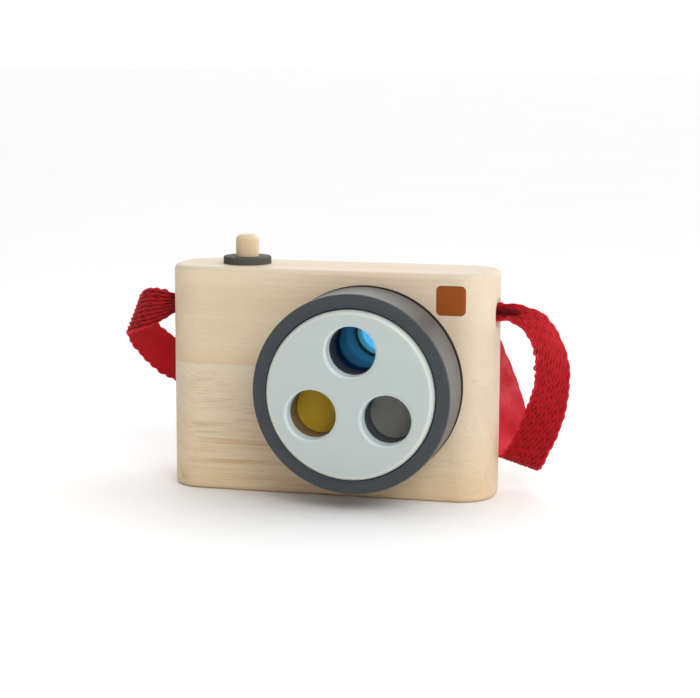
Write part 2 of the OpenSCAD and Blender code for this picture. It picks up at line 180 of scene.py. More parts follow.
class StrapPath:
    """The strap's middle in even steps, with its directions and its half width at each."""

    def __init__(self):
        dense = catmull_rom(STRAP_ROUTE, ROUTE_STEPS)
        run = np.concatenate([[0], np.cumsum(np.linalg.norm(np.diff(dense[:, :3], axis=0), axis=1))])
        self.length = run[-1]
        count = int(round(self.length / STRAP_STEP)) + 1
        self.s = np.linspace(0, self.length, count)
        even = np.stack([np.interp(self.s, run, dense[:, i]) for i in range(6)], axis=1)
        self.middle = even[:, :3]
        self.heading = unit(np.gradient(self.middle, axis=0))
        self.across = unit(even[:, 3:])
        cross = np.cross(self.heading, self.across)
        self.skew = np.linalg.norm(cross, axis=1)
        # Out of the ribbed face
        self.face = -cross / self.skew[:, None]
        # How far a line across the band runs ahead of its middle, for each unit of width
        self.ahead = (self.heading * self.across).sum(1) / self.skew
        to_end = self.length - self.s
        self.near_left = 1 - ease((self.s - GATHER_LEFT) / SPREAD_LEFT)
        self.near_right = 1 - ease((to_end - GATHER_RIGHT) / SPREAD_RIGHT)
        self.half = (BAND_W + (GATHERED_LEFT - BAND_W) * self.near_left +
                     (GATHERED_RIGHT - BAND_W) * self.near_right) / 2
        self.corded = 1 - ease((self.s - CORD_LEN) / CORD_FADE)
        self.deep = 1 - ease((to_end - TROUGH_LEN) / TROUGH_FADE)

    def crease(self, share):
        """Height of the folds: ripples and cords in the left end, wrinkles and a trough in the right."""
        ripple = RIPPLE * np.cos(share * RIPPLE_WAVES * math.pi + RIPPLE_PHASE)
        cord = CORD * np.cos(share * math.pi * BAND_W / CORD_PITCH)
        wrinkle = WRINKLE * np.cos(share * WRINKLE_WAVES * math.pi + self.s[:, None] * WRINKLE_DRIFT)
        trough = TROUGH * (TROUGH_RIM - np.exp(-(share / TROUGH_HALF) ** 2))
        return self.near_left[:, None] * ripple + self.corded[:, None] * cord + \
            self.near_right[:, None] * wrinkle + self.deep[:, None] * trough

    def shade(self, share):
        """How open to the light the ribbed face is: less between the cords and down in the trough."""
        between = 0.5 - 0.5 * np.cos(share * math.pi * BAND_W / CORD_PITCH)
        hollow = np.exp(-(share / SHADE_HALF) ** 4)
        return (1 - CORD_SHADE * self.corded[:, None] * between ** 3) * \
            (1 - TROUGH_SHADE * self.deep[:, None] * hollow)

    def point(self, x, height):
        """Frame points, in metres, of flat positions x across the band at a height over its middle layer."""
        share = x / HALF_W
        out = (share * self.half[:, None] / self.skew[:, None])[..., None] * self.across[:, None] + \
            (height + self.crease(share))[..., None] * self.face[:, None]
        return (self.middle[:, None] + out) * MM

    def along(self, x):
        """Position along the flat band of points at x across it."""
        return self.s[:, None] + x / HALF_W * self.half[:, None] * self.ahead[:, None]


def weave_height(x, v):
    """Height of the ribbed face over the band's middle layer, and how near its top each point is."""
    k = np.arange(YARNS)
    pitch = BAND_W / YARNS
    turns = v[..., None] / FLOAT_PITCH + 0.5 * k + DRIFT * np.sin(DRIFT_RATE * v[..., None] + DRIFT_STEP * k)
    # Each yarn shows for most of its length, dips under by an uneven depth, and its neighbours close in
    uneven = np.random.default_rng(8).uniform(*DIP_DEPTHS, (YARNS, DIP_COUNT))
    depth = uneven[k, np.floor(turns).astype(int) % DIP_COUNT]
    dip = depth * np.exp(-(((turns % 1) - 0.5) * FLOAT_PITCH / DIP) ** 2)
    over = 0.5 + 0.5 * np.cos(2 * math.pi * turns)
    centre = (k - (YARNS - 1) / 2) * pitch + SWAY * np.sin(2 * math.pi * turns)
    q = (x[..., None] - centre) / (pitch * (0.5 + CLOSE_IN * over))
    dome = np.sqrt(np.clip(1 - q * q, 0, None))
    yarn = YARN_FOOT + (YARN_FLANK + YARN_DOME * dome) * (1 - DIP_SHARE * dip)
    height = np.where(np.abs(q) < 1, yarn, GROUND).max(-1)
    return height, np.clip((height - GROUND) / CROWN_H, 0, 1)


def grid_faces(rings, around):
    """Quads of a tube of rings with so many points around, and its two end caps."""
    r, k = np.meshgrid(np.arange(rings - 1), np.arange(around), indexing="ij")
    n = (k + 1) % around
    quads = np.stack([r * around + k, r * around + n, (r + 1) * around + n, (r + 1) * around + k], -1)
    last = (rings - 1) * around
    return quads.reshape(-1, 4).tolist() + [list(range(around))[::-1], list(range(last, last + around))]


def smooth_mesh(name, points, faces):
    mesh = bpy.data.meshes.new(name)
    mesh.from_pydata(points.reshape(-1, 3).tolist(), [], faces)
    mesh.polygons.foreach_set("use_smooth", [True] * len(mesh.polygons))
    mesh.update()
    return link(bpy.data.objects.new(name, mesh))


def cloth_mesh(name, points, faces, weave, ribbed):
    """A mesh with the two attributes that the webbing's material reads."""
    obj = smooth_mesh(name, points, faces)
    weave_data = obj.data.attributes.new("weave", "FLOAT_VECTOR", "POINT").data
    weave_data.foreach_set("vector", weave.astype(np.float32).ravel())
    ribbed_data = obj.data.attributes.new("ribbed", "FLOAT", "POINT").data
    ribbed_data.foreach_set("value", ribbed.astype(np.float32).ravel())
    return obj


def make_band(path):
    """The woven band: the ribbed face one way across, then the smooth face back."""
    top = np.linspace(-1, 1, YARNS * POINTS_PER_YARN + 1) * HALF_W
    low = np.linspace(1, -1, SMOOTH_POINTS) * HALF_W * SMOOTH_W
    n = len(path.s)
    x = np.broadcast_to(np.concatenate([top, low]), (n, len(top) + len(low)))
    v = path.along(x)
    ribbed = np.concatenate([np.ones(len(top)), np.zeros(len(low))])
    height, crown = weave_height(x, v)
    # The smooth face follows the picks a little
    back = -SMOOTH_DEPTH - SMOOTH_PICK * np.cos(2 * math.pi * v / (FLOAT_PITCH / 2))
    is_top = ribbed[None] > 0.5
    height = np.where(is_top, height, back)
    # The crown value, lowered by the shade, is what the material paints darker as painted shade
    crown = np.where(is_top, crown * path.shade(x / HALF_W), SMOOTH_CROWN)
    weave = np.stack([x, v, crown], -1)
    return cloth_mesh("strap_band", path.point(x, height), grid_faces(n, x.shape[1]), weave,
                      np.broadcast_to(ribbed, x.shape))


def make_edge(path, side, seed):
    """The weft yarn that turns back in a row of loops along one edge."""
    rng = np.random.default_rng(seed)
    edge = np.full((len(path.s), 1), side * HALF_W)
    v = path.along(edge)[:, 0]
    turn = v / EDGE_PITCH + (0.5 if side > 0 else 0)
    count = int(path.length / EDGE_PITCH) + 2 * SPARE_LOOPS + 2
    loops = rng.uniform(*LOOP_REACH, count)
    for place in SLACK_LOOPS[side]:
        loops[int(place / EDGE_PITCH) + SPARE_LOOPS] = SLACK_REACH
    reach = loops[np.floor(turn + SPARE_LOOPS).astype(int)] * np.abs(np.sin(math.pi * turn))
    if side > 0:
        for start, rise, end, fall, share in CLOSE_LOOPS:
            reach *= 1 - share * ease((v - start) / rise) * ease((end - v) / fall)
    out = side * (HALF_W - EDGE_TUCK + reach)
    lift = EDGE_LIFT + EDGE_SWING * np.cos(math.pi * turn)
    angle = -np.arange(EDGE_SIDES) * 2 * math.pi / EDGE_SIDES
    x = out[:, None] + EDGE_R * np.cos(angle)[None]
    height = lift[:, None] + EDGE_R * np.sin(angle)[None]
    # The loops' undersides belong to the smooth face
    ribbed = np.broadcast_to(np.sin(angle) > -0.1, x.shape)
    crown = EDGE_CROWN * path.shade(x / HALF_W)
    around = np.broadcast_to(angle * EDGE_R, x.shape)
    weave = np.stack([around, np.broadcast_to(v[:, None], x.shape), crown], -1)
    name = "strap_edge_loops_" + ("upper" if side > 0 else "lower")
    return cloth_mesh(name, path.point(x, height), grid_faces(len(path.s), EDGE_SIDES), weave, ribbed)


path = StrapPath()
band = make_band(path)
edges = [make_edge(path, 1, 3), make_edge(path, -1, 4)]

# Spring under the button: turns and wire of the solid that it stands for, with room for it to be pressed
SPRING_TURNS, SPRING_WIRE, BUTTON_TRAVEL, SPRING_ROOM = 7, 0.9 * MM, 4 * MM, 0.15 * MM
STEPS_PER_TURN, WIRE_SIDES = 28, 10


def make_spring():
    """The button's spring in round wire."""
    low, high = (np.array(corner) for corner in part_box("button_spring"))
    wire_r = SPRING_WIRE / 2
    steps = STEPS_PER_TURN * SPRING_TURNS
    turn = np.linspace(0, 2 * math.pi * SPRING_TURNS, steps + 1)
    radius = (high[0] - low[0] - SPRING_WIRE) / 2
    out = np.stack([np.cos(turn), np.sin(turn), np.zeros_like(turn)], -1)
    rise = np.linspace(low[2] + wire_r, high[2] - wire_r, steps + 1)
    axis = np.stack([np.full_like(rise, (low[0] + high[0]) / 2), np.zeros_like(rise), rise], -1)
    angle = np.arange(WIRE_SIDES) * 2 * math.pi / WIRE_SIDES
    ring = np.cos(angle)[None, :, None] * out[:, None] - np.sin(angle)[None, :, None] * np.array([0, 0, 1])
    points = (radius * out + axis)[:, None] + wire_r * ring
    spring = smooth_mesh("spring_coil", points, grid_faces(steps + 1, WIRE_SIDES))
    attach(spring, "camera")
    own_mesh(spring)
    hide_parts("button_spring")
    return spring


spring = make_spring()


# Materials
class Nodes:
    """A node tree, with a short call that adds a node to it."""

    def __init__(self, tree):
        self.tree = tree

    def put(self, socket, value):
        if isinstance(value, bpy.types.NodeSocket):
            self.tree.links.new(value, socket)
        else:
            socket.default_value = value

    def node(self, kind, out, inputs, **settings):
        n = self.tree.nodes.new("ShaderNode" + kind)
        for key, value in settings.items():
            setattr(n, key, value)
        for key, value in inputs.items():
            self.put(n.inputs[key], value)
        return n.outputs[out]


class Paint(Nodes):
    """A material, with short calls for the nodes used here."""

    def __init__(self, name):
        self.material = bpy.data.materials.new(name)
        self.material.use_nodes = True
        super().__init__(self.material.node_tree)
        self.shader = self.tree.nodes["Principled BSDF"]

    def place(self):
        """Position on the part, which moves with it."""
        return self.node("TexCoord", "Object", {})

    def attribute(self, name, out):
        return self.node("Attribute", out, {}, attribute_name=name)

    def part(self, vector, axis):
        return self.node("SeparateXYZ", "xyz".index(axis), {0: vector})

    def math(self, operation, *values):
        return self.node("Math", 0, dict(enumerate(values)), operation=operation)

    def times(self, a, b):
        return self.math("MULTIPLY", a, b)

    def vector(self, operation, *values, out=0):
        return self.node("VectorMath", out, dict(enumerate(values)), operation=operation)

    def length(self, vector):
        return self.vector("LENGTH", vector, out="Value")

    def stretch(self, vector, scale, offset=(0, 0, 0), turn=(0, 0, 0)):
        return self.node("Mapping", 0, {"Vector": vector, "Location": offset, "Rotation": turn,
                                        "Scale": scale})

    def fibres(self, place, grain, seed, along, across):
        """Positions drawn out along the grain, which is the axis x, y or z."""
        scale = [across] * 3
        scale["xyz".index(grain)] = along
        return self.stretch(place, scale, (seed, seed * 0.7, seed * 1.3))

    def noise(self, vector, scale=1.0, detail=2.0, roughness=0.5, distortion=0.0):
        return self.node("TexNoise", "Fac", {"Vector": vector, "Scale": scale, "Detail": detail,
                                             "Roughness": roughness, "Distortion": distortion})

    def spread(self, value, low, high, to_low=0.0, to_high=1.0):
        """value from low to high, moved to the new range and held there at its ends."""
        return self.node("MapRange", 0, {0: value, 1: low, 2: high, 3: to_low, 4: to_high}, clamp=True)

    def window(self, value, stops, to_low=0.0, to_high=1.0):
        """Rises from to_low to to_high between the first two stops and falls to 0 between the last two."""
        rise = self.spread(value, stops[0], stops[1], to_low, to_high)
        return self.times(rise, self.spread(value, stops[2], stops[3], 1.0, 0.0))

    def mix(self, share, a, b):
        return self.node("Mix", 2, {0: share, 6: a, 7: b}, data_type="RGBA", blend_type="MIX")

    def mix_number(self, share, a, b):
        return self.node("Mix", 0, {0: share, 2: a, 3: b}, data_type="FLOAT")

    def bump(self, height, distance, strength=1.0, normal=None):
        inputs = {"Height": height, "Distance": distance, "Strength": strength}
        if normal is not None:
            inputs["Normal"] = normal
        return self.node("Bump", 0, inputs)

    def set(self, **values):
        for key, value in values.items():
            self.put(self.shader.inputs[key.replace("_", " ")], value)


# The lens's holes: their axes as the lens stands, and the radii that take in the walls of the face disc's
# holes and of the bores behind them
LENS_X, LENS_Z, HOLE_CIRCLE_R, LENS_TURN = 14.8 * MM, 41.8 * MM, 15.4 * MM, -1.6
HOLES = {name: (LENS_X + HOLE_CIRCLE_R * math.cos(math.radians(angle + LENS_TURN)),
                LENS_Z + HOLE_CIRCLE_R * math.sin(math.radians(angle + LENS_TURN)))
         for name, angle in (("blue", 90), ("yellow", 210), ("grey", 330))}
HOLE_R, BORE_R = 8.85 * MM, 9.9 * MM
# Width of the step between two colours where it is sharp
SHARP = 0.1 * MM
# Bores in front of the filters: painted light, each in the tone its filter's light gives it. Behind the
# filters: bare wood, the blue one as its filter's light tints it
BARE_BORE = srgb(176, 152, 120)
FILTER_LIT_BORE_WALLS = {"blue": srgb(54, 59, 70), "yellow": srgb(138, 110, 64), "grey": srgb(78, 82, 84)}
BEHIND_FILTER = {"blue": srgb(24, 112, 130), "yellow": BARE_BORE, "grey": BARE_BORE}
FILTER_BACK_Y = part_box("filter_blue")[1][1]
# Painted shade: the barrel's side is near black in a band before its back, where the gap behind the lens
# lies in shade. Where that starts and is full, and its share
LENS_BACK_Y, BACK_BAND, BACK_BAND_FULL, BACK_SHARE = -18 * MM, 1.9 * MM, 0.9 * MM, 0.9
# The viewing tunnel behind the blue hole. Its wall is tinted as the filter's light tints it, as far as the
# eyepiece: deep at the front, and lighter from TUNNEL_DEEP_Y on
TUNNEL_AXIS = (LENS_X, LENS_Z + HOLE_CIRCLE_R)
TUNNEL_R, TUNNEL_END_Y, TUNNEL_SHARE = 9.7 * MM, 6 * MM, 0.94
TUNNEL_DEEP_Y, TUNNEL_LIGHT_Y = -7.5 * MM, -2.5 * MM
# Burnt square on the front, pressed into the wood: its middle, half side, corners, and its scorched rim
MARK_X, MARK_Z, MARK_HALF, MARK_R = 45.4 * MM, 72.6 * MM, 5.3 * MM, 1.8 * MM
MARK_LINE, MARK_RIM = 0.06 * MM, 1.1 * MM
FRONT_Y, MARK_DEPTH = -16 * MM, 0.6 * MM
# Walls of the strap's holes, painted dark as painted shade: beyond this distance from the body's middle,
# inside the first radius and fading to the second
STRAP_HOLE_X, STRAP_HOLE_R, STRAP_HOLE_EDGE = 40 * MM, 4.05 * MM, 4.4 * MM
# The block is glued from two boards, one on the other; the upper one's figure is taken from elsewhere
BOARD_JOINT_Z, JOINT_HALF = 46.5 * MM, 0.2 * MM
UPPER_SHIFT = (0.7, 0.31)
# Tones of the boards, by height: where the upper's warm foot ends, the lower's pale head starts and the
# warmer, darker bottom ends, and where the top face's painted shade starts and is full
FOOT_END, HEAD_START, BASE_END, TOP_START, TOP_FULL = 53.5 * MM, 30 * MM, 34 * MM, 80 * MM, 81.7 * MM
# Tones and grain of the boards, by place from left to right; the right side is painted duller as painted
# shade
LEFT_END, LEFT_FADED, RIGHT_SHADE_START, RIGHT_SHADE_FULL = -5 * MM, 35 * MM, 20 * MM, 56 * MM
GRAIN_START, GRAIN_FULL, GRAIN_FADE, GRAIN_END = -58 * MM, -46 * MM, -5 * MM, 40 * MM
# Heights between which the lower board's dashes grow stronger, and its long lines weaker
DASHES_LOW, DASHES_FULL, LINES_FULL, LINES_END = 18 * MM, 30 * MM, 22 * MM, 32 * MM


def wood(name, grain, seed, pale, deep, figure=0.56, is_body=False):
    """Pale close-grained wood under thin matt lacquer.

    grain is the axis that its fibres follow; a lower figure draws more growth lines.
    """
    p = Paint(name)
    place = p.place()
    in_board = place
    if is_body:
        height = p.part(place, "z")
        upper = p.math("GREATER_THAN", height, BOARD_JOINT_Z)
        shift = p.node("CombineXYZ", 0, {0: p.times(upper, UPPER_SHIFT[0]),
                                         1: p.times(upper, UPPER_SHIFT[1])})
        in_board = p.vector("ADD", place, shift)

    def fibres(along, across):
        return p.fibres(in_board, grain, seed, along, across)

    # Broad bands, growth lines, fine streaks and short pores
    bands = p.noise(fibres(5, 85), detail=3, roughness=0.55, distortion=0.6)
    lines = p.noise(fibres(7, 420), detail=2, roughness=0.6, distortion=0.3)
    streaks = p.noise(fibres(26, 1500), detail=3, roughness=0.6)
    pores = p.noise(fibres(190, 3600), detail=1)
    patches = p.noise(p.stretch(in_board, (22, 30, 30), (seed * 2, seed, 0)), detail=2)
    colour = p.mix(p.spread(bands, 0.3, 0.72), pale, deep)
    drawn = p.times(p.spread(lines, figure, figure + 0.16), p.spread(patches, 0.42, 0.66, 0.1, 0.8))
    pore = p.spread(pores, 0.66, 0.74, 0.0, 0.35)
    if is_body:
        # The upper board is the plainer one
        drawn = p.times(drawn, p.spread(upper, 0.0, 1.0, 1.0, 0.2))
        pore = p.times(pore, p.spread(upper, 0.0, 1.0, 1.0, 0.5))
        colour = board_tones(p, colour, place, height, upper)
    colour = p.mix(drawn, colour, srgb(172, 128, 84))
    colour = p.mix(p.spread(streaks, 0.25, 0.8, 0.0, 0.3), colour, srgb(196, 168, 128))
    if is_body:
        colour = board_grain(p, colour, fibres, place, height, upper)
    colour = p.mix(pore, colour, srgb(150, 112, 72))
    colour = p.mix(p.spread(patches, 0.35, 0.75, 0.0, 0.22), colour, srgb(236, 222, 198))
    relief = p.math("SUBTRACT", streaks, p.times(pore, 0.9))
    roughness = p.spread(streaks, 0.2, 0.8, 0.46, 0.6)
    if is_body:
        off_joint = p.math("ABSOLUTE", p.math("SUBTRACT", height, BOARD_JOINT_Z))
        joint = p.spread(off_joint, 0.0, JOINT_HALF, 1.0, 0.0)
        joint = p.times(joint, p.spread(patches, 0.45, 0.7, 0.0, 0.4))
        colour = p.mix(joint, colour, srgb(176, 140, 98))
        inside, rim = mark_masks(p, place)
        colour = p.mix(inside, colour, burnt(p, bands, streaks, rim))
        roughness = p.mix_number(inside, roughness, 0.72)
        colour = hole_walls(p, colour, place)
    p.set(Base_Color=colour, Roughness=roughness, Normal=p.bump(relief, 0.06 * MM, 0.5),
          Specular_IOR_Level=0.35, Coat_Weight=0.05, Coat_Roughness=0.32)
    return p.material


def board_tones(p, colour, place, height, upper):
    """Tones of the two boards.

    The upper is warmest at its foot and the lower pale above, and the wood is warmer and darker towards the
    bottom. Both are painted duller at the right and on the top face, as painted shade.
    """
    across = p.part(place, "x")
    left = p.spread(across, LEFT_END, LEFT_FADED, 1.0, 0.1)
    lower = p.math("SUBTRACT", 1.0, upper)
    colour = p.mix(p.times(upper, 0.22), colour, srgb(216, 189, 150))
    foot = p.times(left, p.spread(height, BOARD_JOINT_Z, FOOT_END, 0.36, 0.0))
    colour = p.mix(p.times(upper, foot), colour, srgb(212, 176, 124))
    head = p.times(left, p.spread(height, HEAD_START, BOARD_JOINT_Z, 0.0, 0.36))
    colour = p.mix(p.times(lower, head), colour, srgb(226, 214, 194))
    # Painted shade: duller and darker at the right side
    colour = p.mix(p.spread(across, RIGHT_SHADE_START, RIGHT_SHADE_FULL, 0.0, 0.55), colour, srgb(202, 188, 173))
    # Painted shade: duller and darker on the top face
    colour = p.mix(p.spread(height, TOP_START, TOP_FULL, 0.0, 0.46), colour, srgb(194, 184, 172))
    # Warmer and darker towards the bottom
    return p.mix(p.spread(height, 0.0, BASE_END, 0.42, 0.0), colour, srgb(226, 190, 134))


def board_grain(p, colour, fibres, place, height, upper):
    """Grain of the lower board: short dark dashes over long warm lines, strongest at the left."""
    across = p.part(place, "x")
    side = p.times(p.spread(across, GRAIN_START, GRAIN_FULL, 0.15, 1.0),
                   p.spread(across, GRAIN_FADE, GRAIN_END, 1.0, 0.25))
    share = p.times(p.math("SUBTRACT", 1.0, upper), side)
    dashes = p.spread(p.noise(fibres(75, 1300), detail=2, roughness=0.6), 0.56, 0.7)
    where = p.times(share, p.spread(height, DASHES_LOW, DASHES_FULL, 0.1, 0.3))
    colour = p.mix(p.times(dashes, where), colour, srgb(142, 114, 84))
    long_lines = p.spread(p.noise(fibres(14, 620), detail=3, roughness=0.6, distortion=0.5), 0.52, 0.68)
    where = p.times(share, p.spread(height, LINES_FULL, LINES_END, 0.5, 0.06))
    return p.mix(p.times(long_lines, where), colour, srgb(188, 138, 82))


def mark_masks(p, place):
    """Inside of the burnt square, and its scorched rim."""
    offset = p.vector("ABSOLUTE", p.vector("SUBTRACT", place, (MARK_X, 0, MARK_Z)))
    inset = MARK_HALF - MARK_R
    corner = p.vector("SUBTRACT", offset, (inset, 1.0, inset))
    beyond = p.vector("MAXIMUM", corner, (0, 0, 0))
    depth = p.math("MINIMUM", p.math("MAXIMUM", p.part(corner, "x"), p.part(corner, "z")), 0.0)
    distance = p.math("SUBTRACT", p.math("ADD", p.length(beyond), depth), MARK_R)
    front = p.math("LESS_THAN", p.part(place, "y"), FRONT_Y + MARK_DEPTH)
    inside = p.times(p.spread(distance, -MARK_LINE, MARK_LINE, 1.0, 0.0), front)
    rim = p.spread(distance, -MARK_RIM, -SHARP)
    return inside, rim


def burnt(p, bands, streaks, rim):
    """Brown of the burnt square, with the grain in it."""
    colour = p.mix(p.spread(bands, 0.3, 0.7), srgb(151, 75, 0), srgb(144, 69, 0))
    colour = p.mix(p.spread(streaks, 0.3, 0.8, 0.0, 0.4), colour, srgb(129, 60, 0))
    return p.mix(p.times(rim, 0.2), colour, srgb(110, 50, 4))


def hole_walls(p, colour, place):
    """The wall of the viewing tunnel, tinted as the filter's light tints it, and painted shade in the strap's
    holes.
    """
    depth = p.part(place, "y")
    tunnel = bore_mask(p, place, TUNNEL_AXIS, TUNNEL_R)
    tinted = p.spread(depth, TUNNEL_END_Y, TUNNEL_END_Y + 1 * MM, TUNNEL_SHARE, 0.0)
    tint = p.mix(p.spread(depth, TUNNEL_DEEP_Y, TUNNEL_LIGHT_Y), srgb(8, 56, 84), srgb(16, 138, 168))
    colour = p.mix(p.times(tunnel, tinted), colour, tint)
    # Painted shade in the strap's holes
    away = p.vector("MULTIPLY", p.vector("SUBTRACT", place, (0, 0, STRAP_EXIT[2])), (0, 1, 1))
    outer = p.math("GREATER_THAN", p.math("ABSOLUTE", p.part(place, "x")), STRAP_HOLE_X)
    hole = p.spread(p.length(away), STRAP_HOLE_R, STRAP_HOLE_EDGE, 0.85, 0.0)
    return p.mix(p.times(outer, hole), colour, srgb(62, 36, 24))


def bore_mask(p, place, axis, radius, fade=SHARP):
    """Inside of a circle about an axis along y."""
    offset = p.vector("MULTIPLY", p.vector("SUBTRACT", place, (axis[0], 0, axis[1])), (1, 0, 1))
    return p.spread(p.length(offset), radius, radius + fade, 1.0, 0.0)


def lacquer(name, dark, light, wear_and_highlight_tone, seed, roughness, gloss=0.5, grain_shows=1.0, rim_r=None, rim_w=None,
            back_y=None, bore_r=0.0, bore_fade=SHARP, walls=None):
    """Satin paint on turned wood, with the grain along x: it shows through faintly, and edges wear lighter.

    On the lens the rim is painted lighter instead, as a painted highlight and reflection: rim_r is where it
    starts, and rim_w its width where it is only a line. back_y is the barrel's back, with a band of painted
    shade before it. walls gives the colours of the holes' walls, as far as bore_r from their axes: painted
    light.
    """
    p = Paint(name)
    place = p.place()
    axis = (LENS_X, LENS_Z)

    def fibres(along, across):
        return p.fibres(place, "x", seed, along, across)

    bands = p.noise(fibres(12, 160), detail=3, roughness=0.6, distortion=0.4)
    streaks = p.noise(fibres(60, 1900), detail=3, roughness=0.6)
    pores = p.spread(p.noise(fibres(260, 3600), detail=1), 0.66, 0.74)
    mottle = p.noise(place, 90, 3, 0.6)
    colour = p.mix(p.spread(bands, 0.25, 0.75), dark, light)
    colour = p.mix(p.spread(streaks, 0.35, 0.85, 0.0, 0.06), colour, wear_and_highlight_tone)
    colour = p.mix(p.times(pores, 0.12 * grain_shows), colour, dark)
    # On the lens: the rim is painted lighter, as a painted highlight and reflection on the rounded edge and
    # the side
    if rim_r:
        edge_wear_and_highlight = p.math("SUBTRACT", 1.0, bore_mask(p, place, axis, rim_r, 0.5 * MM))
        if rim_w:
            edge_wear_and_highlight = p.times(edge_wear_and_highlight, bore_mask(p, place, axis, rim_r + rim_w, 0.3 * MM))
        edge_wear_and_highlight = p.times(edge_wear_and_highlight, p.spread(mottle, 0.3, 0.7, 0.36, 0.48))
    else:
        # Edges are where a rounded normal leaves the true one
        rounded = p.node("Bevel", 0, {"Radius": 0.9 * MM}, samples=4)
        true = p.node("NewGeometry", "Normal", {})
        turn = p.math("SUBTRACT", 1.0, p.vector("DOT_PRODUCT", rounded, true, out="Value"))
        edge_wear_and_highlight = p.times(p.spread(turn, 0.02, 0.2), p.spread(mottle, 0.3, 0.7, 0.3, 0.8))
    # Painted highlight and reflection on the lens's rim; wear on other edges
    colour = p.mix(edge_wear_and_highlight, colour, wear_and_highlight_tone)
    if back_y is not None:
        depth = p.part(place, "y")
        # Painted shade: near black before the back, where the gap behind the lens lies in shade
        back_shade_share = p.spread(depth, back_y - BACK_BAND, back_y - BACK_BAND_FULL, 0.0, BACK_SHARE)
        colour = p.mix(back_shade_share, colour, srgb(12, 12, 13))
    satin = p.spread(mottle, 0.3, 0.7, roughness - 0.02, roughness + 0.03)
    # The holes' walls are painted as they are lit: painted light
    for hole, wall in (walls or {}).items():
        inside = bore_mask(p, place, HOLES[hole], bore_r, bore_fade)
        if back_y is not None:
            wall = p.mix(p.math("GREATER_THAN", depth, FILTER_BACK_Y), wall, BEHIND_FILTER[hole])
        colour = p.mix(inside, colour, p.mix(p.spread(bands, 0.3, 0.7, 0.0, 0.3), wall, dark))
        satin = p.math("MAXIMUM", satin, inside)
    relief = p.math("SUBTRACT", p.times(streaks, 0.3), p.times(pores, 0.4))
    peel = p.bump(mottle, 0.08 * MM, 0.04)
    p.set(Base_Color=colour, Roughness=satin, Normal=p.bump(relief, 0.05 * MM, 0.4 * grain_shows, peel),
          Specular_IOR_Level=gloss)
    return p.material


def acrylic(name, tint, deep, clear):
    """Tinted plastic with faint waves and a little dust; clear is the share of light that it lets through."""
    p = Paint(name)
    place = p.place()
    waves = p.noise(place, 140, 2, 0.4)
    dust = p.noise(place, 2600, 2, 0.6)
    p.set(Base_Color=p.mix(p.spread(waves, 0.3, 0.7), tint, deep),
          Roughness=p.spread(dust, 0.5, 0.75, 0.02, 0.12), Normal=p.bump(waves, 0.2 * MM, 0.06),
          Transmission_Weight=clear, IOR=1.12)
    return p.material


def steel(name, tone):
    """Drawn or turned steel with fine lines."""
    p = Paint(name)
    place = p.place()
    lines = p.noise(p.stretch(place, (600, 9000, 600)), detail=2)
    stain = p.noise(place, 300, 3, 0.6)
    p.set(Base_Color=p.mix(p.spread(stain, 0.3, 0.75), tone, srgb(150, 150, 150)), Metallic=1.0,
          Roughness=p.spread(lines, 0.3, 0.7, 0.24, 0.42), Normal=p.bump(lines, 0.02 * MM, 0.3))
    return p.material


def fibre_board(name):
    """Pressed black fibre."""
    p = Paint(name)
    flecks = p.noise(p.stretch(p.place(), (1500, 500, 2500)), detail=3, roughness=0.7)
    p.set(Base_Color=p.mix(p.spread(flecks, 0.3, 0.7), srgb(14, 14, 15), srgb(26, 26, 27)), Roughness=0.9,
          Normal=p.bump(flecks, 0.1 * MM, 0.4))
    return p.material


# Places along the webbing, in millimetres: start, full, fade and end. The fold at the left is slanted across
# the width. The bend is the outside of the loop at the right, on one half of the width. Both carry a painted
# highlight. The smooth face is painted paler behind the right side, as painted light, and less so from 226 mm
# on, fully from 244 mm
FOLD_STOPS, FOLD_SLANT = (23, 32, 34, 39), 0.75
BEND_STOPS, BEND_WIDTH = (302, 314, 318, 328), (-2, 5)
LIT_SMOOTH_STOPS, LESS_LIT_SMOOTH = (165, 205, 280, 300), (226, 244)


